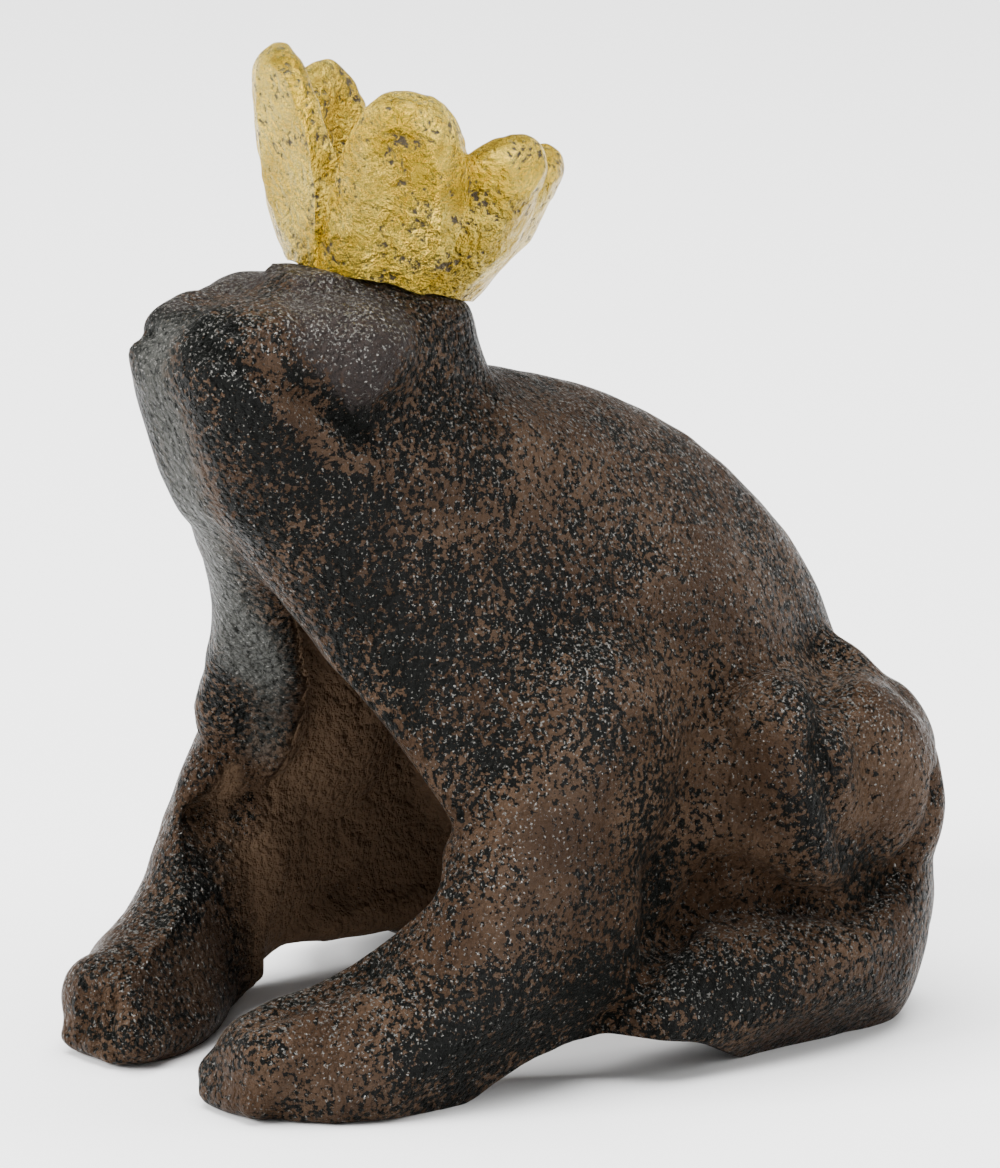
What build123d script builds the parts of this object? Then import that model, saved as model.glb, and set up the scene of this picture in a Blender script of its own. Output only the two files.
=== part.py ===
from build123d import *
import math
import os

# A hollow cast-iron frog that sits up, with a gilded crown held on its head by a stud and nut.
# It faces -Y and its left side is +X. It is drawn with Y from under the shoulders and then moved, so
# that the origin is on the surface that it stands on, under the middle of its length.

overrun = 20.0            # how far a cutting tool runs past what it cuts

# Body casting
wall = 5.0                # thickness of the casting
throat_wall = 9.0         # thickness at the throat and chest
body_height = 96.0        # soles to the top of the head
nose_reach = 36.0         # from the shoulders forward to the nose
rump_reach = 58.0         # from the shoulders back to the rump
belly_half = 28.0         # half the width of the belly

# Each row is a level of the casting: its height, its front, its back, half its width and half the
# width of the flat strip that runs down the nose, throat and chest.
torso_shares = (
    (0.000, 0.40, 0.92, 0.93, 0.76),
    (0.190, 0.41, 0.97, 0.99, 0.86),
    (0.375, 0.40, 0.98, 0.98, 0.84),
    (0.490, 0.50, 0.935, 0.94, 0.56),
    (0.595, 0.66, 0.83, 0.83, 0.26),
    (0.690, 0.80, 0.67, 0.70, 0.18),
    (0.770, 0.87, 0.435, 0.61, 0.16),
    (0.828, 0.84, 0.16, 0.48, 0.14),
    (0.865, 0.74, -0.05, 0.32, 0.10),
)
head_shares = (
    (0.585, 0.60, 0.08, 0.46, 0.17),
    (0.672, 0.79, 0.13, 0.52, 0.17),
    (0.750, 0.91, 0.155, 0.54, 0.17),
    (0.833, 1.00, 0.14, 0.53, 0.16),
    (0.893, 1.02, 0.095, 0.49, 0.15),
    (0.930, 0.97, 0.07, 0.44, 0.13),
    (0.950, 0.86, 0.03, 0.36, 0.11),
    (0.976, 0.55, -0.06, 0.27, 0.09),
)
# Points along one side of a level, from the edge of the strip to the middle of the back: how far out
# from that edge, and how far back.
side_shares = ((0.58, 0.09), (0.90, 0.27), (1.00, 0.50))
rear_shares = ((0.90, 0.76), (0.56, 0.94))

# Opening between the front legs
arch_shares = ((0.15, 0.505), (0.28, 0.434), (0.42, 0.38), (0.56, 0.31), (0.66, 0.25), (0.66, 0.0))
arch_top_share = 0.60     # apex, of the body's height
notch_low = 20.0          # bottom of the V that the walls beside the opening are cut to
notch_back = 16.0         # how far back the V's point lies there
notch_lean = 45.0         # degrees that its point leans forward as it rises
notch_angle = 32.0        # degrees from X to each side of the V
side_arch_rise = 5.5      # low arch in each side wall, between the front and the hind foot
side_arch_front = -13.0
side_arch_back = 22.0

# Front leg, from the toes back to the shoulder
leg_reach = 38.8          # from the shoulders forward to the toes
leg_out = 28.0            # from the middle out to the shoulder
leg_high = 44.0           # top of the shoulder
# Each row is a place along the leg: how far forward, then the middle's place out and up, then the
# half width and half height.
leg_shares = (
    (0.965, 0.47, 0.06, 0.15, 0.11),
    (0.89, 0.50, 0.08, 0.24, 0.16),
    (0.735, 0.60, 0.10, 0.35, 0.20),
    (0.485, 0.755, 0.17, 0.33, 0.29),
    (0.34, 0.865, 0.29, 0.28, 0.39),
    (0.155, 0.93, 0.43, 0.25, 0.42),
    (-0.06, 0.965, 0.50, 0.205, 0.43),
    (-0.31, 0.875, 0.56, 0.065, 0.36),
)
toe_count = 4
toe_radius = 2.0
toe_pitch = 2.7
toe_out = 13.3            # middle of the toes
knuckle_back, knuckle_up = 5.0, 5.0    # the toe's upper end, behind and above its tip

# Thigh: a lobe at the knee and one at the hip
knee_out, knee_back, knee_up = 31.0, 31.0, 31.0
knee_radius = 8.0
knee_half = 14.5          # half its height
knee_lean = 13.0          # degrees that its top leans forward
hip_out, hip_back, hip_up = 28.0, 44.0, 29.5
hip_radius = 9.5
hip_half = 15.0
hip_lean = 26.0
egg_shares = (-0.98, -0.8, -0.45, 0.0, 0.45, 0.8, 0.98)    # where a lobe's circles lie up it

# Hind foot, from its front end back to the heel, with rows like those of the front leg but measured
# backwards
foot_reach = 56.0         # from the shoulders back to the heel
foot_out = 31.0
foot_high = 27.0          # top of the heel
foot_shares = (
    (0.02, 0.94, 0.18, 0.12, 0.20),
    (0.22, 0.97, 0.22, 0.22, 0.31),
    (0.46, 0.97, 0.26, 0.27, 0.37),
    (0.68, 0.93, 0.32, 0.31, 0.42),
    (0.86, 0.83, 0.43, 0.31, 0.50),
    (0.96, 0.73, 0.60, 0.25, 0.44),
    (1.01, 0.66, 0.68, 0.14, 0.28),
)

# Eyes
eye_radius = 7.0
eye_out, eye_back = 10.5, -16.0
eye_drop = 11.5           # below the top of the head

# Crown
seat_y = -5.0                  # middle of the seat on the head
seat_drop = 5.5                # below the top of the head
seat_tilt = 16.0               # degrees that the crown leans back
head_wall = 6.0                # metal between the seat and the hollow
crown_foot = 10.4              # radius at the seat
bowl_depth = 8.5               # height of the bowl's floor above the seat
rim_radius = 13.4
rim_height = 11.0
petal_spread = 16.6            # radius at a tip's middle
petal_rise = 23.0              # height of a tip
petal_belly = 0.8              # how far a petal swells out of line half way up
petal_width = 10.5
petal_thick = 6.4
# Each petal: its direction in degrees from the front towards the frog's left, then its spread, rise
# and width.
petal_shares = (
    (-40, 1.05, 1.03, 1.08),
    (43, 0.96, 0.93, 1.20),
    (-88, 1.00, 1.01, 1.00),
    (94, 1.01, 0.85, 1.20),
    (146, 1.02, 0.80, 1.00),
    (-140, 1.00, 0.72, 0.95),
)
# Along a petal: how far up it, and how wide it is there.
tongue_shares = ((0.0, 0.90), (0.35, 1.0), (0.65, 1.0), (0.85, 0.91), (0.96, 0.70), (1.0, 0.45))

# Fastening
stud_radius = 2.5
stud_grip = 6.5                # length in the crown
stud_end = 2.0                 # length past the nut
thread_gap = 0.05              # all round the stud in its threads
hole_gap = 0.3                 # all round the stud in the head and washer
washer_radius, washer_thick = 5.0, 1.0
washer_room = 0.8             # all round the washer in its spot face
nut_flats, nut_thick = 8.0, 4.0


# Worked out from the sizes
cutter = 2 * (nose_reach + rump_reach)    # side of a box that cuts all above or below
tilt = math.radians(seat_tilt)
seat = Plane(origin=(0, seat_y, body_height - seat_drop), x_dir=(1, 0, 0), z_dir=(0, math.sin(tilt), math.cos(tilt)))
on_top = (Align.CENTER, Align.CENTER, Align.MIN)
hung_under = (Align.CENTER, Align.CENTER, Align.MAX)


def level(row, inset=0, front_inset=0):
    """One level of the casting, drawn in by the insets."""
    height, front, back, half, strip = row
    y_front = -front * nose_reach + front_inset
    y_back = back * rump_reach - inset
    x_half = half * belly_half - inset
    x_strip = strip / half * x_half
    length = y_back - y_front
    side = [(x_strip, y_front)]
    side += [(x_strip + out * (x_half - x_strip), y_front + along * length) for out, along in side_shares]
    side += [(out * x_half, y_front + along * length) for out, along in rear_shares]
    mirrored = [(-x, y) for x, y in reversed(side)]
    around = Spline(*side, (0, y_back), *mirrored)
    return Pos(0, 0, height * body_height) * make_face([around, Line(around @ 1, around @ 0)])


def inside(rows):
    """The inside of the casting along some levels: drawn in and lowered by the wall."""
    return Pos(0, 0, -wall) * loft([level(row, wall, throat_wall) for row in rows])


def mirrored_pair(solid):
    """A piece of the right side with its mirror image."""
    return [solid, mirror(solid, Plane.YZ)]


def oval_loft(rows, reach, out, high):
    """A limb through upright ovals along Y."""
    faces = []
    for along, x_share, z_share, half_x, half_z in rows:
        middle = (x_share * out, along * reach, z_share * high)
        upright = Plane(origin=middle, x_dir=(1, 0, 0), z_dir=(0, 1, 0))
        faces.append(upright * Ellipse(half_x * out, half_z * high))
    return loft(faces)


def egg(radius, half_height, lean):
    """A lobe through level circles, whose top leans forward."""
    circles = [Pos(0, 0, up * half_height) * Circle(radius * math.sqrt(1 - up * up)) for up in egg_shares]
    return Rot(lean, 0, 180) * loft(circles)


def above(height):
    """Everything above a height."""
    return Pos(0, 0, height) * Box(cutter, cutter, cutter, align=on_top)


def below(height):
    """Everything below a height."""
    return Pos(0, 0, height) * Box(cutter, cutter, cutter, align=hung_under)


def build_hollow():
    """The inside of the casting, up to a flat that is parallel to the crown's seat."""
    mouth = extrude(level(torso_shares[0], wall, throat_wall), amount=-overrun, both=True)
    hollow = inside(torso_shares) + inside(head_shares) + mouth - seat * above(-head_wall)
    spot_face = Cylinder(washer_radius + washer_room, wall, align=hung_under)
    return hollow + seat * Pos(0, 0, -head_wall) * spot_face


def build_front_arch():
    """The opening between the front legs, up to its point under the chest."""
    right = [(x * belly_half, z * body_height) for x, z in arch_shares]
    left = [(-x, z) for x, z in reversed(right)]
    top = (0, arch_top_share * body_height)
    outline = Polyline(top, *right, (right[-1][0], -overrun), (left[0][0], -overrun), *left, top)
    return extrude(Plane.XZ * make_face(outline), amount=nose_reach + overrun)


def build_front_notch():
    """The V between the front legs, which leans forward as it rises."""
    run = math.tan(math.radians(notch_angle)) * cutter
    point = (0, notch_back)
    outline = Polyline(point, (cutter, notch_back - run), (-cutter, notch_back - run), point)
    lean = math.radians(notch_lean)
    upward = (0, -math.sin(lean), math.cos(lean))
    return extrude(Pos(0, 0, notch_low) * make_face(outline), amount=body_height, dir=upward)


def build_side_arches():
    """The low arch in each side wall, between the front and the hind foot."""
    middle = (side_arch_front + side_arch_back) / 2
    low = [(side_arch_front, 0), (middle, side_arch_rise), (side_arch_back, 0)]
    curve = ThreePointArc(*low)
    outline = make_face([curve, Polyline(low[2], (low[2][0], -overrun), (low[0][0], -overrun), low[0])])
    return extrude(Plane.YZ * outline, amount=cutter, both=True)


def toe(place):
    """One toe that curls down over the end of the foot."""
    tip = Vector(toe_out + place * toe_pitch, toe_radius - leg_reach, toe_radius)
    knuckle = tip + Vector(0, knuckle_back, knuckle_up)
    bone = knuckle - tip
    shaft = Plane(origin=tip + bone / 2, z_dir=bone) * Cylinder(toe_radius, bone.length)
    return shaft + Pos(tip) * Sphere(toe_radius)


def build_foreleg():
    """The right front leg with its toes."""
    leg = oval_loft([(-row[0],) + row[1:] for row in leg_shares], leg_reach, leg_out, leg_high)
    for index in range(toe_count):
        leg += toe(index - (toe_count - 1) / 2)
    return leg


def build_body():
    """The whole casting, with its legs, hollow and openings."""
    trunk = loft([level(row) for row in torso_shares]) + loft([level(row) for row in head_shares])
    lumps = mirrored_pair(Pos(knee_out, knee_back, knee_up) * egg(knee_radius, knee_half, knee_lean))
    lumps += mirrored_pair(Pos(hip_out, hip_back, hip_up) * egg(hip_radius, hip_half, hip_lean))
    lumps += mirrored_pair(Pos(eye_out, eye_back, body_height - eye_drop) * Sphere(eye_radius))
    lumps += mirrored_pair(oval_loft(foot_shares, foot_reach, foot_out, foot_high))
    shell = trunk
    for lump in lumps:
        shell += lump
    shell = shell - build_hollow() - build_front_arch() - build_front_notch()
    for leg in mirrored_pair(build_foreleg()):
        shell += leg
    shell -= below(0)
    shell -= build_side_arches()
    shell -= seat * above(0)
    hole = seat * Cylinder(stud_radius + hole_gap, 2 * (head_wall + overrun))
    return shell - hole


def petal(turn, spread, rise, width):
    """One blunt point of the crown, from the foot out to its tip."""
    foot = Vector(crown_foot - petal_thick / 2, 0, 0)
    lean = Vector(spread * petal_spread, 0, rise * petal_rise) - foot
    faces = []
    for along, wide in tongue_shares:
        swell = Vector(petal_belly * math.sin(math.pi * along), 0, 0)
        place = Plane(origin=foot + lean * along + swell, x_dir=(0, 1, 0), z_dir=lean)
        faces.append(place * Ellipse(wide * width * petal_width / 2, wide * petal_thick / 2))
    return Rot(0, 0, turn - 90) * loft(faces)


def build_crown():
    """A bowl with six petals, which the stud screws into."""
    outer = [(0, 0), (crown_foot, 0), (rim_radius, rim_height)]
    inner = [(rim_radius - petal_thick / 2, rim_height), (0, bowl_depth)]
    cup = revolve(Plane.XZ * make_face(Polyline(*outer, *inner, outer[0])), Axis.Z)
    crown = cup.fuse(*[petal(*row) for row in petal_shares])
    crown -= below(0)
    hole = Cylinder(stud_radius + thread_gap, 2 * stud_grip)
    return seat * (crown - hole)


def build_stud():
    """The stud from inside the crown down past the nut."""
    bottom = -(head_wall + washer_thick + nut_thick + stud_end)
    return seat * Pos(0, 0, bottom) * Cylinder(stud_radius, stud_grip - bottom, align=on_top)


def build_washer():
    """The washer inside the head."""
    ring = Cylinder(washer_radius, washer_thick, align=hung_under)
    ring -= Cylinder(stud_radius + hole_gap, 2 * overrun)
    return seat * Pos(0, 0, -head_wall) * ring


def build_nut():
    """The nut under the washer."""
    nut = extrude(RegularPolygon(nut_flats / 2, 6, major_radius=False), amount=-nut_thick)
    nut -= Cylinder(stud_radius + thread_gap, 2 * overrun)
    return seat * Pos(0, 0, -head_wall - washer_thick) * nut


stand = Pos(0, (leg_reach - rump_reach) / 2, 0)
pieces = {
    "frog_body": build_body(),
    "crown": build_crown(),
    "crown_stud": build_stud(),
    "crown_washer": build_washer(),
    "crown_nut": build_nut(),
}
os.makedirs("parts", exist_ok=True)
for name, piece in pieces.items():
    export_step(stand * piece, f"parts/{name}.step")
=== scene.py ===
import math
import bmesh
import bpy
import numpy as np
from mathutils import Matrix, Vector
from mathutils.bvhtree import BVHTree


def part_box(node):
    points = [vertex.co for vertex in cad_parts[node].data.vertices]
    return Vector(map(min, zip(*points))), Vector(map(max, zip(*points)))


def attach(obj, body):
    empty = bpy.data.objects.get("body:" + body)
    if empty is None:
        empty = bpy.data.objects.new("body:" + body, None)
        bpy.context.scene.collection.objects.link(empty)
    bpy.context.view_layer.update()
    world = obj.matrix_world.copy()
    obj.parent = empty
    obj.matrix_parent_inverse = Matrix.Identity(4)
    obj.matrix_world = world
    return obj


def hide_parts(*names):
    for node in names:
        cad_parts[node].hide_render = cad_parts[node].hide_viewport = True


# A hollow cast-iron frog with a gilded crown. The frame's metres are kept, lengths below are in mm
# unless they say otherwise, and the frog faces -Y with its left side at +X.

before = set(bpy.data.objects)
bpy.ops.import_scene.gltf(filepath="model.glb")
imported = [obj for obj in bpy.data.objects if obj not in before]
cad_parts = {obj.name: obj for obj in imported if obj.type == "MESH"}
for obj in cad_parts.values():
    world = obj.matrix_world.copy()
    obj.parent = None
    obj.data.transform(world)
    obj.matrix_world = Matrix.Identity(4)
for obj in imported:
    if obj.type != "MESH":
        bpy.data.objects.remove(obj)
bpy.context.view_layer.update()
mm = 0.001


# Mesh work

def gridFaces(rows, columns):    # quads between the rows of a grid that is closed round its columns
    row, column = np.meshgrid(np.arange(rows - 1), np.arange(columns), indexing="ij")
    following = (column + 1) % columns
    corners = [row * columns + column, row * columns + following,
               (row + 1) * columns + following, (row + 1) * columns + column]
    return np.stack(corners, axis=-1).reshape(-1, 4).tolist()


def closedTube(rings):    # rings: rows x columns x 3 points; both ends are closed by a fan to their middle
    rows, columns = rings.shape[:2]
    points = np.concatenate([rings.reshape(-1, 3), rings[:1].mean(axis=1), rings[-1:].mean(axis=1)])
    first, last = rows * columns, rows * columns + 1
    around = np.arange(columns)
    following = (around + 1) % columns
    lower = np.stack([following, around, np.full(columns, first)], axis=1)
    upper = np.stack([around, following, np.full(columns, last)], axis=1)
    upper[:, :2] += (rows - 1) * columns
    return points, gridFaces(rows, columns) + lower.tolist() + upper.tolist()


def newPiece(name, points, faces):    # points are in mm
    mesh = bpy.data.meshes.new(name)
    mesh.from_pydata((points * mm).tolist(), [], faces)
    mesh.validate()
    piece = bpy.data.objects.new(name, mesh)
    bpy.context.scene.collection.objects.link(piece)
    return piece


def readPoints(piece):
    points = np.zeros(len(piece.data.vertices) * 3)
    piece.data.vertices.foreach_get("co", points)
    return points.reshape(-1, 3) / mm


def writePoints(piece, points):
    piece.data.vertices.foreach_set("co", (points * mm).ravel())
    piece.data.update()


def readNormals(piece):
    normals = np.zeros(len(piece.data.vertices) * 3)
    piece.data.vertices.foreach_get("normal", normals)
    return normals.reshape(-1, 3)


def mergePoints(mesh, distance, outwards):    # joins points nearer than a distance, and may turn faces out
    work = bmesh.new()
    work.from_mesh(mesh)
    bmesh.ops.remove_doubles(work, verts=work.verts, dist=distance * mm)
    if outwards:
        bmesh.ops.recalc_face_normals(work, faces=work.faces)
    work.to_mesh(mesh)
    work.free()


def mergedCopy(node, name, distance):    # a copy of a CAD node's mesh with its loose triangles joined up
    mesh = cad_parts[node].data.copy()
    mesh.name = name
    mergePoints(mesh, distance, False)
    copy = bpy.data.objects.new(name, mesh)
    bpy.context.scene.collection.objects.link(copy)
    return copy


def joined(name, pieces):    # one mesh that holds several closed ones
    points, faces, start = [], [], 0
    for piece in pieces:
        own = readPoints(piece)
        points.append(own)
        faces += [[start + index for index in face.vertices] for face in piece.data.polygons]
        start += len(own)
        bpy.data.objects.remove(piece)
    return newPiece(name, np.concatenate(points), faces)


def shadeSmooth(mesh):
    mesh.polygons.foreach_set("use_smooth", np.ones(len(mesh.polygons), bool))


def remesh(piece, voxel):    # one skin round all that overlaps, with faces of the voxel's size
    modifier = piece.modifiers.new("skin", "REMESH")
    modifier.mode = "VOXEL"
    modifier.voxel_size = voxel * mm
    depsgraph = bpy.context.evaluated_depsgraph_get()
    mesh = bpy.data.meshes.new_from_object(piece.evaluated_get(depsgraph))
    piece.modifiers.clear()
    piece.data = mesh
    mesh.name = piece.name
    shadeSmooth(mesh)


def soften(piece, rounds, weight):    # each point moves by its weight towards the mean of its neighbours
    points = readPoints(piece)
    edges = np.zeros(len(piece.data.edges) * 2, int)
    piece.data.edges.foreach_get("vertices", edges)
    edges = edges.reshape(-1, 2)
    ends = np.concatenate([edges[:, 0], edges[:, 1]])
    others = np.concatenate([edges[:, 1], edges[:, 0]])
    count = np.bincount(ends, minlength=len(points)).astype(float)
    weight = np.broadcast_to(weight, len(points))[:, None]
    for _ in range(rounds):
        total = np.stack([np.bincount(ends, points[others, axis], len(points)) for axis in range(3)], axis=1)
        points += weight * (total / count[:, None] - points)
    writePoints(piece, points)


def softStep(values, low, high):    # 0 below low, 1 above high, smooth between
    share = np.clip((values - low) / (high - low), 0, 1)
    return share * share * (3 - 2 * share)


def spanShare(values, span):    # 0 before the span's first value and after its last, 1 between the other two
    return softStep(values, span[0], span[1]) * (1 - softStep(values, span[2], span[3]))


def bumpiness(points, size, seed):    # smooth noise from -1 to 1: random values at the corners of a lattice
    primes, seedStep, mixer = np.array([73856093, 19349663, 83492791]), 2654435761, 1274126177
    cell = np.floor(points / size).astype(np.int64)
    inner = points / size - cell
    inner = inner * inner * (3 - 2 * inner)
    total = np.zeros(len(points))
    for corner in np.ndindex(2, 2, 2):
        place = cell + np.array(corner)
        mixed = (place * primes).sum(axis=1) + seed * seedStep
        mixed = (mixed ^ (mixed >> 13)) * mixer & 0xFFFFFFFF
        value = (mixed ^ (mixed >> 16)) % 65536 / 32768 - 1
        share = np.where(np.array(corner) == 1, inner, 1 - inner).prod(axis=1)
        total += value * share
    return total


# Places of the photograph

viewLook = {
    "azimuth": 52,           # degrees round from the front towards the frog's left
    "elevation": 14,
    "distance": 1000,
    "pixelsPerMm": 8.6,
    "anchor": (0, -4.7, 55), # a point on the frog, and the pixel of the photograph where it falls
    "anchorPixel": (449, 568),
    "imageSize": (1000, 1168),
    "sensorWidth": 36,       # mm, of the camera
}


def viewAxes():    # the camera's right, up and backward directions
    turn, rise = math.radians(viewLook["azimuth"]), math.radians(viewLook["elevation"])
    back = Vector((math.sin(turn) * math.cos(rise), -math.cos(turn) * math.cos(rise), math.sin(rise)))
    right = Vector((math.cos(turn), math.sin(turn), 0))
    return right, back.cross(right), back


def behindPixels(tree, pixels):    # the points of a surface, in mm, that the photograph shows at some pixels
    right, up, back = viewAxes()
    anchor = Vector(viewLook["anchor"])
    eye = anchor + back * viewLook["distance"]
    found = []
    for across, down in pixels:
        beside = (across - viewLook["anchorPixel"][0]) / viewLook["pixelsPerMm"]
        below = (down - viewLook["anchorPixel"][1]) / viewLook["pixelsPerMm"]
        ray = (anchor + right * beside - up * below - eye).normalized()
        place = tree.ray_cast(eye * mm, ray)[0]
        if place is not None:
            found.append(np.array(place) / mm)
    return np.array(found)


def surfaceTree(piece):
    piece.data.calc_loop_triangles()
    corners = [list(face.vertices) for face in piece.data.polygons]
    return BVHTree.FromPolygons([vertex.co for vertex in piece.data.vertices], corners)


def distanceToPath(points, path):    # from each point to the nearest place on a path of straight runs
    nearest = np.linalg.norm(points - path[0], axis=1)
    for start, end in zip(path[:-1], path[1:]):
        run = end - start
        share = np.clip((points - start) @ run / max(run @ run, 1e-9), 0, 1)
        nearest = np.minimum(nearest, np.linalg.norm(points - start - share[:, None] * run, axis=1))
    return nearest


def strokeShare(piece, strokes):    # at each point, what the strokes add up to, each a bell across its path
    tree = surfaceTree(piece)
    points = readPoints(piece)
    total = np.zeros(len(points))
    for pixels, radius, amount, bothSides in strokes:
        path = behindPixels(tree, pixels)
        if len(path) == 0:
            print("stroke off the surface", pixels[0])
            continue
        for side in ((1, -1) if bothSides else (1,)):
            away = distanceToPath(points, path * np.array([side, 1, 1]))
            total += amount * np.exp(-(away / radius) ** 2)
    return total


def carve(piece, strokes, mask):    # raises or carves a surface along paths drawn on the photograph
    rise = strokeShare(piece, strokes) * mask
    writePoints(piece, readPoints(piece) + readNormals(piece) * rise[:, None])


# Shader work

class Value:    # wraps an output socket, so that shader maths is written as Python
    def __init__(self, paint, socket):
        self.paint = paint
        self.socket = socket

    def maths(self, operation, first, second):
        return self.paint.node("Math", {"operation": operation}, {0: first, 1: second})

    def __add__(self, other):
        return self.maths("ADD", self, other)

    def __radd__(self, other):
        return self.maths("ADD", other, self)

    def __sub__(self, other):
        return self.maths("SUBTRACT", self, other)

    def __rsub__(self, other):
        return self.maths("SUBTRACT", other, self)

    def __mul__(self, other):
        return self.maths("MULTIPLY", self, other)

    def __rmul__(self, other):
        return self.maths("MULTIPLY", other, self)

    def between(self, low, high):    # 0 at low, 1 at high, smooth between
        settings = {"interpolation_type": "SMOOTHSTEP"}
        return self.paint.node("MapRange", settings, {0: self, 1: low, 2: high, 3: 0.0, 4: 1.0})


class Paint:    # one material and its nodes
    def __init__(self, name):
        self.material = bpy.data.materials.new(name)
        self.material.use_nodes = True
        self.tree = self.material.node_tree
        self.tree.nodes.clear()
        self.place = self.node("TexCoord", output="Object")

    def node(self, kind, settings=None, sockets=None, output=0):
        made = self.tree.nodes.new("ShaderNode" + kind)
        for name, value in (settings or {}).items():
            setattr(made, name, value)
        for name, value in (sockets or {}).items():
            if isinstance(value, Value):
                self.tree.links.new(value.socket, made.inputs[name])
            else:
                made.inputs[name].default_value = value
        return Value(self, made.outputs[output])

    def stored(self, name):    # a value that the mesh stores at its points
        return self.node("Attribute", {"attribute_name": name}, output="Fac")

    def noise(self, size, detail, roughness):    # size: mm from lump to lump
        scale = 1 / (size * mm)
        sockets = {"Vector": self.place, "Scale": scale, "Detail": detail, "Roughness": roughness}
        return self.node("TexNoise", None, sockets)

    def cells(self, size):    # distance to the nearest of scattered points, 0 at the point
        sockets = {"Vector": self.place, "Scale": 1 / (size * mm)}
        return self.node("TexVoronoi", {"feature": "F1"}, sockets)

    def mix(self, share, first, second):    # colours
        return self.node("Mix", {"data_type": "RGBA"}, {0: share, 6: first, 7: second}, output=2)

    def bump(self, height, depth):    # depth: mm from the lowest to the highest
        return self.node("Bump", None, {"Height": height, "Distance": depth * mm, "Strength": 1.0})

    def finish(self, sockets):
        shader = self.node("BsdfPrincipled", None, sockets)
        surface = self.tree.nodes.new("ShaderNodeOutputMaterial").inputs["Surface"]
        self.tree.links.new(shader.socket, surface)
        return self.material


# Materials

ironLook = {
    "brown": (0.040, 0.022, 0.012, 1),
    "lightBrown": (0.084, 0.051, 0.031, 1),
    "black": (0.0035, 0.004, 0.0033, 1),
    # the eyes' and snout's grey, partly their own colour and partly painted sheen from the light above
    "greyAndSheen": (0.034, 0.027, 0.025, 1),
    # painted sheen: the pale grey that light glancing off the chin, the chest and the snout's front gives
    "paleSheen": (0.060, 0.061, 0.055, 1),
    # the hollow's own plain brown, made lighter than the brown outside as painted fill light for the shaded
    # hollow
    "inside": (0.120, 0.075, 0.045, 1),
    # flecks: worn metal that glints, with a light grey and made more common on faces turned to the top light,
    # as painted glints
    "glintFleck": (0.15, 0.146, 0.135, 1),
    # sizes in mm
    "patchSize": 24,
    "blotchSize": 7,
    "tintSize": 11.9,
    "speckSize": 0.75,
    "fleckSize": 0.38,
    "grainSize": 0.9,
    "grainDepth": 2.6,
    # each edge: where a colour starts to show, and where it shows in full
    "tintEdge": (0.35, 0.7),
    "blackEdge": (1.68, 1.80),
    "greyEdge": (0.35, 0.75),
    "paleSheenEdge": (0.1, 1.1),
    "paleSheenBreaks": (0.45, 0.7),                   # the same for the specks that break up the pale grey
    "fleckEdge": (0.63, 0.71),
    "blackWeights": (0.7, 0.7, 2.1),             # of patches, blotches and specks
    "greyWeights": (1.4, 1.2),                   # of blotches and specks
    "greyMost": 0.85,
    # upward places get more flecks as painted glints where the top light falls; grey and pale places get more
    # with their painted sheen
    "fleckWeights": (0.10, 0.03, 0.03, 0.1),     # of upward, grey, pale and inside places
    "grainWeights": (0.5, 1.1, 0.35, 0.9),       # of cells, grain, fine grain and folds in the bump
    "roughness": 0.38,
    "specular": 0.05,
}


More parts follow.
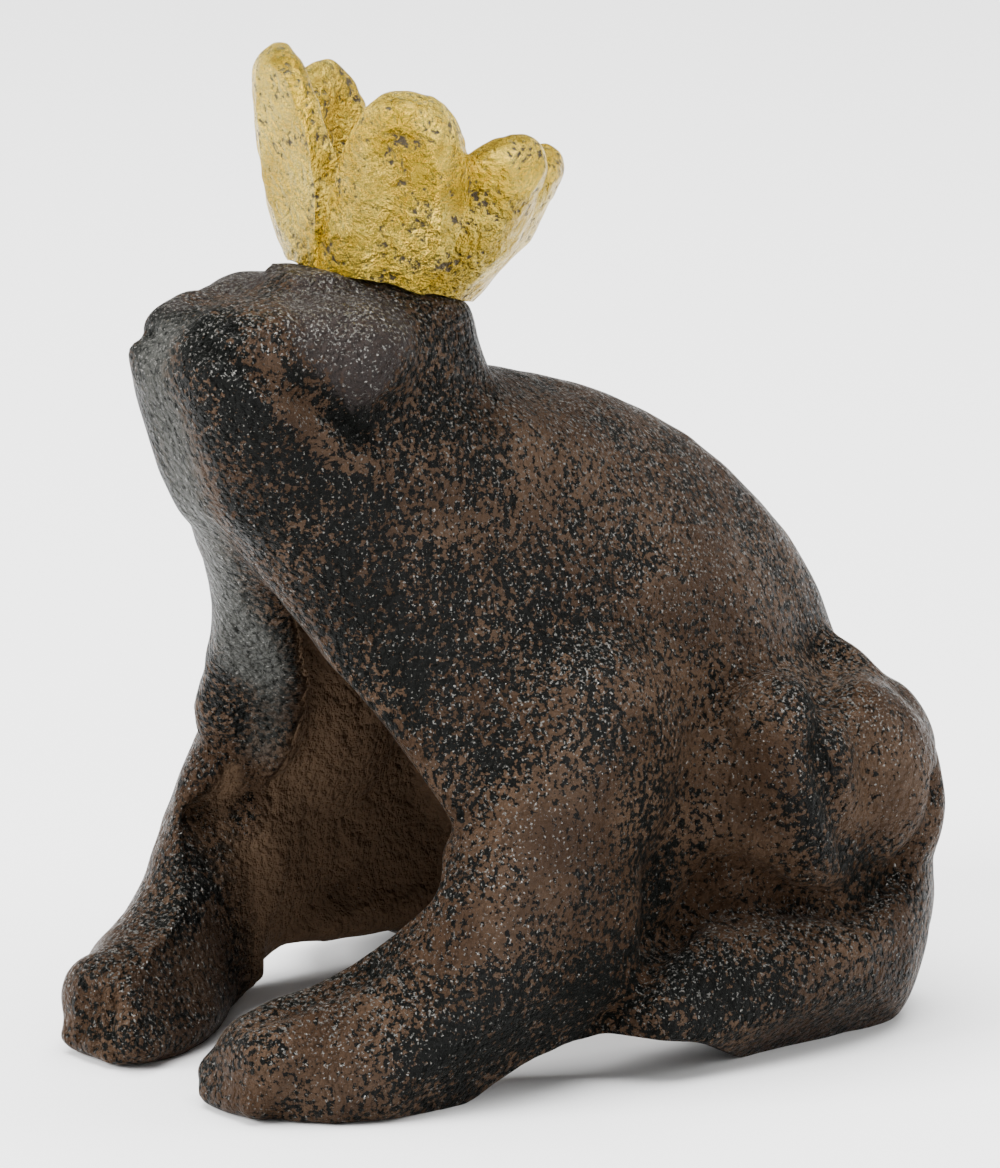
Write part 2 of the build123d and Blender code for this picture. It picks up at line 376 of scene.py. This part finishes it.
# The black, the grey with its painted sheen and the flecks with their painted glints each show where a sum of
# noises and of stored values passes an edge
def antiquedIron():
    look = ironLook
    paint = Paint("antiquedIron")
    dark, greyAndSheen, paleSheen = paint.stored("dark"), paint.stored("greyAndSheen"), paint.stored("paleSheen")
    # upward: how far a face turns to the top light, which adds painted glints
    inside, upward = paint.stored("inside"), paint.stored("upward")
    patches = paint.noise(look["patchSize"], 3.0, 0.55)
    blotches = paint.noise(look["blotchSize"], 4.0, 0.6)
    specks = paint.noise(look["speckSize"], 3.0, 0.65)
    tint = paint.noise(look["tintSize"], 3.0, 0.5).between(*look["tintEdge"])
    flecks = paint.noise(look["fleckSize"], 2.0, 0.6)
    patchWeight, blotchWeight, speckWeight = look["blackWeights"]
    blackness = patches * patchWeight + blotches * blotchWeight + specks * speckWeight + dark
    blackness = blackness.between(*look["blackEdge"])
    blotchWeight, speckWeight = look["greyWeights"]
    greyAndSheen = greyAndSheen + (blotches - 0.5) * blotchWeight + (specks - 0.5) * speckWeight
    greyAndSheen = greyAndSheen.between(*look["greyEdge"])
    paleSheen = paleSheen.between(*look["paleSheenEdge"])
    brown = paint.mix(tint, look["brown"], look["lightBrown"])
    outer = paint.mix(blackness, brown, look["black"])
    # grey round the eyes and over the snout: partly their own grey, partly painted sheen from the light above
    outer = paint.mix(greyAndSheen * look["greyMost"], outer, look["greyAndSheen"])
    # painted sheen: pale grey where light glances off the chin, the chest and the snout, broken up by specks
    outer = paint.mix(paleSheen * (1.15 - specks).between(*look["paleSheenBreaks"]), outer, look["paleSheen"])
    # the hollow's brown, lightened as painted fill light where little light reaches
    colour = paint.mix(inside, outer, look["inside"])
    upGlintWeight, greyWeight, paleSheenWeight, insideWeight = look["fleckWeights"]
    flecks = flecks + upward * upGlintWeight + greyAndSheen * greyWeight + paleSheen * paleSheenWeight - inside * insideWeight
    flecks = flecks.between(*look["fleckEdge"])
    # painted glints: light grey metal flecks, most on faces turned to the top light
    colour = paint.mix(flecks, colour, look["glintFleck"])
    cells = paint.cells(look["grainSize"])
    grain = paint.noise(look["grainSize"] * 1.4, 4.0, 0.7)
    folds = paint.noise(look["grainSize"] * 3.5, 3.0, 0.55)
    fine = paint.noise(look["grainSize"] * 0.5, 2.0, 0.6)
    cellWeight, grainWeight, fineWeight, foldWeight = look["grainWeights"]
    height = (1 - cells) * cellWeight + grain * grainWeight + fine * fineWeight
    height = height * (1 - inside * 0.6) + folds * foldWeight
    return paint.finish({
        "Base Color": colour,
        "Roughness": look["roughness"] - flecks * 0.10 + (grain - 0.5) * 0.4 + inside * 0.2,
        "Metallic": flecks * 0.9,
        "Specular IOR Level": look["specular"],
        "Normal": paint.bump(height, look["grainDepth"]),
    })


giltLook = {
    "gold": (0.41, 0.275, 0.022, 1),
    "paleGold": (0.52, 0.38, 0.055, 1),
    "pit": (0.045, 0.030, 0.010, 1),
    "leafSize": 6,
    "grainSize": 0.8,
    "grainDepth": 1.8,
    "leafEdge": (0.35, 0.65),
    "pitEdge": (0.42, 0.32),
    "roughness": 0.24,
}


def giltIron():
    look = giltLook
    paint = Paint("giltIron")
    grain = paint.noise(look["grainSize"], 4.0, 0.7)
    folds = paint.noise(look["grainSize"] * 4, 3.0, 0.55)
    cells = paint.cells(look["grainSize"] * 1.6)
    pits = (grain + (folds - 0.5) * 0.6).between(*look["pitEdge"])
    leaf = paint.noise(look["leafSize"], 3.0, 0.5).between(*look["leafEdge"])
    leaf = paint.mix(leaf, look["gold"], look["paleGold"])
    return paint.finish({
        "Base Color": paint.mix(pits, leaf, look["pit"]),
        "Roughness": look["roughness"] + pits * 0.3 + (folds - 0.5) * 0.2,
        "Metallic": 1 - pits * 0.6,
        "Normal": paint.bump((1 - cells) * 0.4 + grain + folds * 1.2, look["grainDepth"]),
    })


zincLook = {
    "dark": (0.50, 0.50, 0.47, 1),
    "light": (0.66, 0.66, 0.64, 1),
    "toneSize": 4,
    "scratchSize": 0.5,
    "scratchDepth": 0.02,
    "roughness": 0.28,
}


def zincSteel():
    look = zincLook
    paint = Paint("zincSteel")
    scratches = paint.noise(look["scratchSize"], 3.0, 0.6)
    tone = paint.noise(look["toneSize"], 2.0, 0.5)
    return paint.finish({
        "Base Color": paint.mix(tone, look["dark"], look["light"]),
        "Roughness": look["roughness"] + scratches * 0.2,
        "Metallic": 1.0,
        "Normal": paint.bump(scratches, look["scratchDepth"]),
    })


iron = antiquedIron()
gilt = giltIron()
zinc = zincSteel()
print("materials made")


# Body

bodyLook = {
    "mergeDistance": 0.002,
    "voxel": 0.8,
    "softenRounds": 6,
    "blendRounds": 40,
    "softenWeight": 0.5,
    "swellSize": 9,
    "swellDepth": 0.15,
    "swellSeed": 3,
    "dentSize": 3.2,
    "dentDepth": 0.16,
    "dentSeed": 5,
    "lumpRows": 25,
    "lumpColumns": 36,
    # lumps of metal on both sides: middle, half sizes, and degrees that the top leans forward
    "lumps": (
        ((23.5, 25, 28), (12.5, 18, 16), 0),
        ((22.6, 39.2, 30.4), (9.2, 8.9, 9.8), 0),
        ((20, 36.7, 38), (7, 6, 6.5), 0),
        ((23, 42, 14), (8, 5.6, 12), 0),
        ((25, -5, 35), (7.5, 13, 17), -20),
        ((15, -42.8, 6.0), (7.3, 5.2, 5.8), 0),
        ((9.8, -43.2, 3.6), (5.5, 4.2, 3.5), 0),
        ((14.5, -37, 7.0), (7.0, 9.5, 5.8), 0),
        ((22.8, 3, 6.9), (2.6, 17, 2.6), 0),
    ),
    # the flat faces that the walls turn to the opening, on both sides: their edge at the opening, then
    # their outer edge
    "faceInner": ((2.5, -29.0, 53), (4.3, -26.3, 48.7), (8.0, -21.3, 41.7), (11.7, -18.1, 36.7),
                  (14.1, -17.0, 32.4), (18.3, -16.4, 26.1), (19.4, -16.9, 22), (19.8, -18.5, 16)),
    "faceOuter": ((7, -31.0, 54), (11, -30.0, 49.2), (18.5, -27.0, 42.3), (22.5, -24.4, 35.6),
                  (24.5, -22.3, 31), (26, -20.5, 26), (26.5, -20, 21), (26.5, -20, 15)),
    "faceBack": ((1.5, 5.5, 0), (3.5, 5.0, 0)),    # from the outer and the inner edge to the wall behind them
    # the front legs' inner side: Y, where the side meets the ground, and where its ridge is
    "legStations": ((-47, 3.5, 9.0, 9.5), (-38.4, 6.0, 13.0, 14.0), (-31, 9.0, 16.0, 15.5),
                    (-24, 16.0, 18.2, 16.4), (-19.3, 18.4, 19.6, 20.2), (-15, 18.4, 18.8, 24.5)),
    "legSpan": (-50, -46, -15, -11),    # Y over which that inner side is trimmed
    "legTop": (22, 30),                 # Z over which the trimming ends
    "legLean": 0.9,                     # how far out a mm up adds above the ridge
    "legMiddle": 2,                     # nearer to the middle than this nothing is trimmed
    # the outer side at the ground, how far out a mm up adds, and Y over which it is trimmed, for the
    # front legs and for the hind feet, whose span ends behind the frog
    "outerSides": (
        (26.5, 0.5, (-36, -30, -8, 0)),
        (32.5, 0.95, (2, 8, 80, 90)),
    ),
    # the hollow's middle line, as Y at a height, that height, and how much further forward a mm up is
    "hollowMiddle": (6, 20, 0.22),
    # how much a face looks away from that line where the inside is full, and where it ends
    "insideTurn": (-0.45, -0.12),
    # where the inside ends towards the feet, with how much a mm up adds, at the sides and at the back
    "hollowFront": (-22, -14, 0.25),
    "hollowSide": (22, 25),
    "hollowBack": (30, 34),
    "blendCore": 0.4,                   # share of a blend's reach that is smoothed in full
    # places that are smoothed much, on both sides: middle and reach
    "blends": (
        ((28, 10, 40), 18),
        ((26, 32, 42), 13),
        ((27, -8, 44), 16),
        ((30, -10, 28), 12),
        ((15, -20, 83), 13),
    ),
}

# Each stroke: its pixels in the photograph, its radius and height in mm, and whether the other side has it
bodyStrokes = (
    (((835, 650), (826, 700), (824, 750), (836, 800), (852, 850)), 2.4, -1.9, True),
    (((738, 868), (790, 900), (850, 912), (900, 872), (940, 785)), 1.7, -2.0, True),
    (((731, 700), (716, 780), (722, 850)), 3.0, -0.9, True),
    (((711, 871), (680, 930), (640, 990), (606, 1025)), 1.6, -1.7, True),
    (((720, 943), (790, 958), (860, 955)), 2.6, 0.7, True),
    (((205, 312), (242, 290), (282, 268)), 1.6, 0.4, False),
    (((150, 322), (180, 304), (222, 286), (262, 268)), 4.0, -1.5, False),
    (((207, 347), (260, 378), (320, 412), (368, 439)), 1.3, -0.9, True),
    (((212, 372), (262, 404), (325, 440), (372, 466)), 1.6, 0.5, True),
    (((540, 388), (640, 435), (720, 490), (780, 560), (804, 606)), 9.0, -1.3, True),
    (((150, 330), (146, 372), (152, 410)), 5.0, -0.6, True),
    (((310, 400), (345, 412), (390, 405), (430, 380)), 1.8, -0.5, True),
    (((300, 300), (298, 345), (312, 385)), 1.8, -0.5, True),
    (((224, 880), (175, 938), (162, 969)), 1.6, 0.8, False),
    (((212, 720), (196, 780), (172, 840)), 4.5, 0.9, False),
    (((291, 740), (288, 772), (270, 804), (224, 880)), 1.4, 0.5, False),
    (((470, 884), (440, 930), (400, 972), (330, 1010), (255, 1040)), 2.0, 0.5, False),
    (((370, 975), (310, 1002), (258, 1022)), 1.8, -0.7, False),
)
toeStrokes = (
    (((84, 988), (80, 1008), (79, 1034)), 0.75, -1.1, False),
    (((97, 995), (93, 1020), (94, 1048)), 0.75, -1.1, False),
    (((111, 1002), (108, 1028), (109, 1058)), 0.75, -1.1, False),
    (((197, 328),), 0.9, -1.0, False),
    (((232, 328),), 0.9, -1.0, False),
)


# Paint: pixels, radius in mm, how much darker (or browner where it is below 0), and whether on both sides
darkStrokes = (
    (((330, 450), (365, 560), (400, 660), (470, 740)), 7.0, 0.13, True),
    (((215, 350), (240, 420), (280, 520), (330, 610)), 4.0, 0.12, True),
    (((800, 690), (812, 760), (818, 830), (870, 885)), 3.2, 0.22, True),
    (((440, 1060), (520, 1035), (590, 985), (650, 900), (660, 800)), 4.5, 0.14, True),
    (((700, 975), (800, 1010), (870, 1010)), 4.0, 0.15, True),
    (((470, 320), (468, 400), (485, 470)), 3.0, 0.12, True),
    (((560, 640), (600, 700), (560, 740)), 6.0, 0.08, True),
    (((80, 990), (150, 950), (215, 870)), 4.0, 0.08, False),
    (((560, 440), (640, 520), (720, 600)), 11.0, -0.12, True),
    (((300, 420), (370, 470), (430, 530)), 3.2, -0.16, True),
    (((560, 790), (540, 880), (440, 960), (360, 1010)), 5.0, -0.14, True),
    (((870, 700), (893, 760), (880, 810)), 4.0, -0.20, True),
    (((250, 1085), (320, 1075), (300, 1045)), 4.5, -0.16, True),
    (((740, 700), (745, 780), (770, 850)), 4.0, -0.12, True),
    (((280, 775), (258, 850), (225, 915), (200, 960)), 3.6, -0.25, False),
    (((188, 316), (240, 324)), 2.8, 0.20, True),
    (((210, 346), (237, 394), (268, 421), (308, 461), (383, 500)), 1.8, 0.20, True),
    (((255, 345), (290, 405), (340, 462)), 2.0, -0.22, True),
    (((294, 379),), 1.5, 0.35, True),
    (((347, 434),), 2.2, 0.32, True),
    (((190, 345), (205, 430), (250, 540)), 1.8, 0.25, True),
    # painted shade over the far foot's carved toe grooves
    (((80, 1010), (98, 1030), (116, 1045)), 1.5, 0.15, False),
    # painted shade in the two carved nostril dents
    (((197, 328), (232, 328)), 1.0, 0.25, False),
)
# Painted sheen: the pale grey down the chin and the chest is painted sheen where light glances off them, then
# the grey-pink round the eyes and over the snout is their grey with painted sheen from the light above:
# pixels, radius in mm, how strong, and whether on both sides
paleSheenStrokes = (
    (((158, 345), (170, 425), (196, 515), (226, 600), (243, 660)), 4.4, 1.1, False),
    (((262, 640), (272, 700), (262, 750)), 3.0, 0.6, False),
)
greyAndSheenStrokes = (
    (((325, 287), (390, 316), (365, 368), (330, 335)), 4.4, 1.2, True),
    (((180, 305), (230, 285), (270, 265)), 3.0, 0.5, True),
)


# A ball stretched to its half sizes: its points are the cosine and sine of an angle round, times the cosine
# of an angle up, and the sine of the angle up
def lump(middle, halves, lean, side):
    poleGap = 0.02    # radians from a pole to the first ring
    up = np.linspace(-math.pi / 2 + poleGap, math.pi / 2 - poleGap, bodyLook["lumpRows"])[:, None]
    turn = np.linspace(0, 2 * math.pi, bodyLook["lumpColumns"], endpoint=False)[None, :]
    ball = np.stack([np.cos(up) * np.cos(turn), np.cos(up) * np.sin(turn), np.sin(up) + 0 * turn], axis=-1)
    ball = ball * np.array(halves)
    tip = math.radians(lean)
    forward = ball[..., 1] * math.cos(tip) - ball[..., 2] * math.sin(tip)
    upward = ball[..., 1] * math.sin(tip) + ball[..., 2] * math.cos(tip)
    ball = np.stack([ball[..., 0], forward, upward], axis=-1) + np.array(middle)
    return newPiece("lump", *closedTube(ball * np.array([side, 1, 1])))


def openingFace(side):    # a plate: its section runs round the two edges and the two places behind them
    inner, outer = np.array(bodyLook["faceInner"], float), np.array(bodyLook["faceOuter"], float)
    behindOuter, behindInner = outer + bodyLook["faceBack"][0], inner + bodyLook["faceBack"][1]
    rings = np.stack([inner, outer, behindOuter, behindInner], axis=1)
    return newPiece("openingFace", *closedTube(rings * np.array([side, 1, 1])))


def trimLegs(points):    # moves the front legs' inner sides out to their slope, and the outer sides in
    look = bodyLook
    x, y, z = np.abs(points[:, 0]), points[:, 1], points[:, 2]
    stations = np.array(look["legStations"], float)
    ground, ridge, high = (np.interp(y, stations[:, 0], stations[:, k]) for k in (1, 2, 3))
    least = np.where(z < high, ground + (ridge - ground) * z / high, ridge + (z - high) * look["legLean"])
    share = spanShare(y, look["legSpan"]) * (1 - softStep(z, *look["legTop"]))
    share = share * (x < least) * (x > look["legMiddle"])
    x = x + share * (least - x)
    for ground, slope, span in look["outerSides"]:
        most = ground + slope * z
        x = x - spanShare(y, span) * (x > most) * (x - most)
    points[:, 0] = np.sign(points[:, 0]) * x


def insideShare(points, normals):    # 1 where the surface faces the middle of the hollow
    start, height, lean = bodyLook["hollowMiddle"]
    z = points[:, 2]
    middle = np.stack([np.zeros(len(points)), start - lean * (z - height), z], axis=1)
    outwards = points - middle
    outwards /= np.linalg.norm(outwards, axis=1, keepdims=True) + 0.001
    return 1 - softStep((outwards * normals).sum(axis=1), *bodyLook["insideTurn"])


def withinHollow(points):    # 0 on the feet and outside the walls, where nothing is painted as the inside
    look = bodyLook
    x, y, z = np.abs(points[:, 0]), points[:, 1], points[:, 2]
    low, high, slope = look["hollowFront"]
    front = softStep(y + slope * z, low, high)
    return front * (1 - softStep(x, *look["hollowSide"])) * (1 - softStep(y, *look["hollowBack"]))


def nearness(points, spots):    # 1 at the middle of a spot or of its mirror image, 0 beyond its reach
    near = np.zeros(len(points))
    for middle, reach in spots:
        for side in (1, -1):
            away = np.linalg.norm(points - np.array(middle) * np.array([side, 1, 1]), axis=1)
            near = np.maximum(near, 1 - softStep(away, reach * bodyLook["blendCore"], reach))
    return near


def storeShare(piece, name, values):
    layer = piece.data.attributes.new(name, "FLOAT", "POINT")
    layer.data.foreach_set("value", values.astype(np.float32))


def makeBody():
    look = bodyLook
    lumps = [lump(*row, side) for row in look["lumps"] for side in (1, -1)]
    lumps += [openingFace(side) for side in (1, -1)]
    body = joined("bodyCasting", [mergedCopy("frog_body", "casting", look["mergeDistance"])] + lumps)
    remesh(body, look["voxel"])
    points = readPoints(body)
    trimLegs(points)
    writePoints(body, points)
    soften(body, look["softenRounds"], look["softenWeight"])
    points = readPoints(body)
    inside = insideShare(points, readNormals(body))
    weight = look["softenWeight"] * nearness(points, look["blends"]) * (1 - inside)
    soften(body, look["blendRounds"], weight)
    carve(body, bodyStrokes, 1 - inside)
    carve(body, toeStrokes, 1 - inside)
    points, normals = readPoints(body), readNormals(body)
    swell = look["swellDepth"] * bumpiness(points, look["swellSize"], look["swellSeed"])
    dents = look["dentDepth"] * bumpiness(points, look["dentSize"], look["dentSeed"])
    points += normals * (swell + dents)[:, None]
    low, high = (np.array(corner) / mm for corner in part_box("frog_body"))
    points = np.clip(points, low, high)
    writePoints(body, points)
    storeShare(body, "inside", insideShare(points, normals) * withinHollow(points))
    # how far each face turns up, for the painted glints under the top light
    storeShare(body, "upward", np.clip(normals[:, 2], 0, 1))
    storeShare(body, "dark", strokeShare(body, darkStrokes))
    # where the grey and its painted sheen from the light above show
    storeShare(body, "greyAndSheen", strokeShare(body, greyAndSheenStrokes))
    # where the painted pale sheen shows
    storeShare(body, "paleSheen", strokeShare(body, paleSheenStrokes))
    body.data.materials.clear()
    body.data.materials.append(iron)
    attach(body, "root")
    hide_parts("frog_body")
    print("body made:", len(body.data.polygons), "faces")


makeBody()


# Crown

crownLook = {
    "seat": (0, -14.6, 90.5),    # middle of the seat on the head
    "seatTilt": 16,              # degrees that the crown leans back
    "columns": 480,
    "footRadius": 8.0,           # of the middle of the wall at the seat
    "footShift": (-39, 0.2),     # the direction in which the foot is wider, and by how much
    "halfWall": 3.0,
    "bowlFloor": 8.5,
    "holeRadius": 2.6,
    "holeDepth": 6.6,
    "topBend": 0.8,              # how much a point bends from sloping outwards to straight up
    "roundTop": 0.2,             # share of the height over which the top is rounded
    "topThinning": 0.12,         # share of its thickness that the wall loses on the way up
    "keelMiddle": 0.45,          # the ridge goes from 0 to 1, and stands out where it is above this
    "keelPower": 0.7,            # how the keel grows on the way up
    "grooveDepth": 0.5,          # of the groove inside a petal, and its width as a share of half the petal
    "grooveWidth": 0.25,
    # direction in degrees from the front towards the frog's left, radius and height of the tip, how
    # far round from it its keel starts at the foot, how proud the keel stands, and two powers that
    # shape its top
    "petals": (
        (-138, 15.0, 17.5, 0, 0.8, 1.7, 0.85),
        (-85, 16.2, 23.4, 0, 0.6, 1.9, 0.8),
        (-40, 16.3, 24.2, -6, 1.2, 2.6, 0.8),
        (50, 16.6, 22.2, 32, 5.0, 2.8, 1.8),
        (97, 16.8, 19.9, 10, 1.6, 2.2, 0.9),
        (143, 15.4, 19.4, 0, 1.0, 1.9, 0.85),
    ),
    # direction and height of the notch that follows each petal
    "notches": ((-112, 14), (-64, 15.5), (9, 8.6), (79, 16.4), (122, 16.8), (182, 11)),
    "dentSize": 1.3,
    "dentDepth": 0.16,
    "foldSize": 3.4,
    "foldDepth": 0.30,
    "dentSeed": 11,
    "foldSeed": 13,
    "roughFrom": (4, 9),         # how far from the seat the unevenness starts, and where it is full
    "mergeDistance": 0.01,
    # rows of points on each part of the section
    "rows": {"holeEnd": 4, "holeSide": 8, "seat": 14, "outside": 50, "top": 17, "inside": 34, "floor": 18},
}


# For each direction: the top's height, the outward slope, the place across the petal from -1 to 1, where
# its keel is and how proud that stands. The top falls from the tip to the notches at its sides by 1 minus
# the place to one power, and all of that to another power. The slope runs evenly from petal to petal.
def petalShape(direction):
    look = crownLook
    height, across, keel, proud = (np.zeros_like(direction) for _ in range(4))
    tips = look["petals"]
    for index, (tip, radius, top, keelTurn, keelHeight, inPower, outPower) in enumerate(tips):
        left, leftHeight = look["notches"][index - 1]
        right, rightHeight = look["notches"][index]
        left -= 360 if left > tip else 0
        offset = (direction - tip + 180) % 360 - 180
        place = np.where(offset < 0, offset / (tip - left), offset / (right - tip))
        own = (place >= -1) & (place < 1)
        notch = np.where(offset < 0, leftHeight, rightHeight)
        crest = notch + (top - notch) * (1 - np.abs(np.clip(place, -1, 1)) ** inPower) ** outPower
        height[own] = crest[own]
        across[own] = place[own]
        keel[own] = keelTurn / (right - tip)
        proud[own] = keelHeight
    around = np.array([row[0] for row in tips], float)
    lean = np.array([(row[1] - look["footRadius"]) / row[2] for row in tips])
    slope = np.interp(direction, around, lean, period=360)
    return height, slope, across, keel, proud


# The crown's surface: a direction round it, and a place along its section from the hole out, up the
# outside of a petal, over the top, down the inside and over the bowl's floor
def crownPoints(direction):
    look = crownLook
    rows = look["rows"]
    height, slope, across, keel, proud = petalShape(direction)
    radial, upward = [], []
    widest, shift = look["footShift"]
    foot = look["footRadius"] + shift * np.cos(np.radians(direction - widest))
    start = 1 - look["roundTop"]    # the share of the height where the top starts to round

    def add(out, up):
        radial.append(np.broadcast_to(out, direction.shape))
        upward.append(np.broadcast_to(up, direction.shape))

    # One row of the wall, a share of the way up, outside (1) or inside (-1). The wall's middle leaves the
    # foot along the petal's slope and bends upright. Half the wall lies on each side of it, rounds off over
    # the top as a quarter circle does, and has the petal's keel outside and a groove inside.
    def wall(share, side):
        up = share * height
        bent = share * (1 + look["topBend"] - look["topBend"] * share)
        middle = foot + slope * height * bent
        rounding = np.sqrt(1 - np.clip((share - start) / look["roundTop"], 0, 1) ** 2)
        half = look["halfWall"] * (1 - look["topThinning"] * share) * rounding
        if side > 0:
            ridge = 1 - np.abs(across - keel * (1 - share)) / (1 + np.abs(keel * (1 - share)))
            half = half + (proud * (ridge - look["keelMiddle"]) * share ** look["keelPower"]) * rounding
        else:
            groove = look["grooveDepth"] * np.exp(-(across / look["grooveWidth"]) ** 2)
            half = half - groove * share * rounding
        add(middle + side * half, up)

    add(0, look["holeDepth"])
    for share in np.linspace(0.3, 1, rows["holeEnd"]):
        add(share * look["holeRadius"], look["holeDepth"])
    for up in np.linspace(look["holeDepth"], 0, rows["holeSide"])[1:]:
        add(look["holeRadius"], up)
    for share in np.linspace(0, 1, rows["seat"])[1:]:
        add(look["holeRadius"] + share * (foot + look["halfWall"] - look["holeRadius"]), 0)
    for share in np.linspace(0.01, start, rows["outside"]):
        wall(share, 1)
    turning = np.sin(np.linspace(0, 1, rows["top"]) * math.pi / 2)    # 0 where the top starts, 1 at the tip
    for share in start + look["roundTop"] * turning[1:]:
        wall(share, 1)
    for share in start + look["roundTop"] * turning[::-1][1:]:
        wall(share, -1)
    floorShare = np.minimum(look["bowlFloor"] / height, start)
    for share in np.linspace(1, 0, rows["inside"])[1:]:
        wall(floorShare + (start - floorShare) * share, -1)
    inner = radial[-1]
    for share in np.linspace(1, 0, rows["floor"])[1:]:
        add(inner * share, look["bowlFloor"])
    return np.stack(radial), np.stack(upward)


def makeCrown():
    look = crownLook
    direction = np.linspace(-180, 180, look["columns"], endpoint=False)
    radial, upward = crownPoints(direction)
    angle = np.radians(direction)
    tilt = math.radians(look["seatTilt"])
    sideways, forward = radial * np.sin(angle), -radial * np.cos(angle)
    rings = np.stack([sideways, forward * math.cos(tilt) + upward * math.sin(tilt),
                      upward * math.cos(tilt) - forward * math.sin(tilt)], axis=-1) + np.array(look["seat"])
    crown = newPiece("crownCasting", *closedTube(rings))
    mergePoints(crown.data, look["mergeDistance"], True)
    shadeSmooth(crown.data)
    points, normals = readPoints(crown), readNormals(crown)
    away = np.linalg.norm(points - np.array(look["seat"]), axis=1)
    rough = look["dentDepth"] * bumpiness(points, look["dentSize"], look["dentSeed"])
    rough += look["foldDepth"] * bumpiness(points, look["foldSize"], look["foldSeed"])
    points += normals * (rough * softStep(away, *look["roughFrom"]))[:, None]
    low, high = (np.array(corner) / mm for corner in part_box("crown"))
    writePoints(crown, np.clip(points, low, high))
    crown.data.materials.clear()
    crown.data.materials.append(gilt)
    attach(crown, "root")
    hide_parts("crown")
    print("crown made:", len(crown.data.polygons), "faces")


makeCrown()

for node in ("crown_stud", "crown_washer", "crown_nut"):
    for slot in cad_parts[node].material_slots:
        slot.material = zinc


# Studio

studioLook = {
    "floorSize": 8.0,        # m
    "floorColour": (0.90, 0.90, 0.90, 1),
    "floorRoughness": 0.85,
    "skyColour": (1, 1, 1, 1),
    "skyStrength": 0.3,
    # the lights: place, the point each is aimed at and the length of its side in m, and its power in W
    "lights": {
        "top": ((-0.1, 0.05, 1.3), (0, 0, 0), 1.4, 75),
        "key": ((-0.3, -0.95, 0.5), (0, 0, 0.06), 0.5, 26),
        "fill": ((0.8, -0.45, 0.35), (0, 0, 0.06), 0.6, 1.2),
        "rim": ((0.55, 0.75, 0.35), (0, 0, 0.06), 0.5, 7),
    },
}


def makeFloor():
    look = studioLook
    half = look["floorSize"] / 2 / mm
    corners = np.array([[-half, -half, 0], [half, -half, 0], [half, half, 0], [-half, half, 0]])
    floor = newPiece("floor", corners, [[0, 1, 2, 3]])
    paint = Paint("floorPaint")
    sockets = {"Base Color": look["floorColour"], "Roughness": look["floorRoughness"]}
    floor.data.materials.append(paint.finish(sockets))


def softLight(name, place, aim, size, power):    # a square area light, in m and W
    light = bpy.data.lights.new(name, "AREA")
    light.size = size
    light.energy = power
    holder = bpy.data.objects.new(name, light)
    holder.location = place
    holder.rotation_euler = (Vector(aim) - Vector(place)).to_track_quat("-Z", "Y").to_euler()
    bpy.context.scene.collection.objects.link(holder)


def makeCamera():
    look = viewLook
    right, up, back = viewAxes()
    anchor = Vector(look["anchor"])
    across = (look["imageSize"][0] / 2 - look["anchorPixel"][0]) / look["pixelsPerMm"]
    down = (look["imageSize"][1] / 2 - look["anchorPixel"][1]) / look["pixelsPerMm"]
    aim = anchor + right * across - up * down
    place = anchor + back * look["distance"]
    lens = bpy.data.cameras.new("camera")
    lens.sensor_fit = "HORIZONTAL"
    lens.sensor_width = look["sensorWidth"]
    lens.lens = look["sensorWidth"] * look["pixelsPerMm"] * look["distance"] / look["imageSize"][0]
    camera = bpy.data.objects.new("camera", lens)
    camera.location = place * mm
    camera.rotation_euler = (aim - place).to_track_quat("-Z", "Y").to_euler()
    bpy.context.scene.collection.objects.link(camera)
    bpy.context.scene.camera = camera


def makeWorld():
    world = bpy.data.worlds.new("studio")
    bpy.context.scene.world = world
    world.use_nodes = True
    background = world.node_tree.nodes["Background"]
    background.inputs["Color"].default_value = studioLook["skyColour"]
    background.inputs["Strength"].default_value = studioLook["skyStrength"]


makeFloor()
for lightName, lightValues in studioLook["lights"].items():
    softLight(lightName, *lightValues)
makeCamera()
makeWorld()
print("studio made")
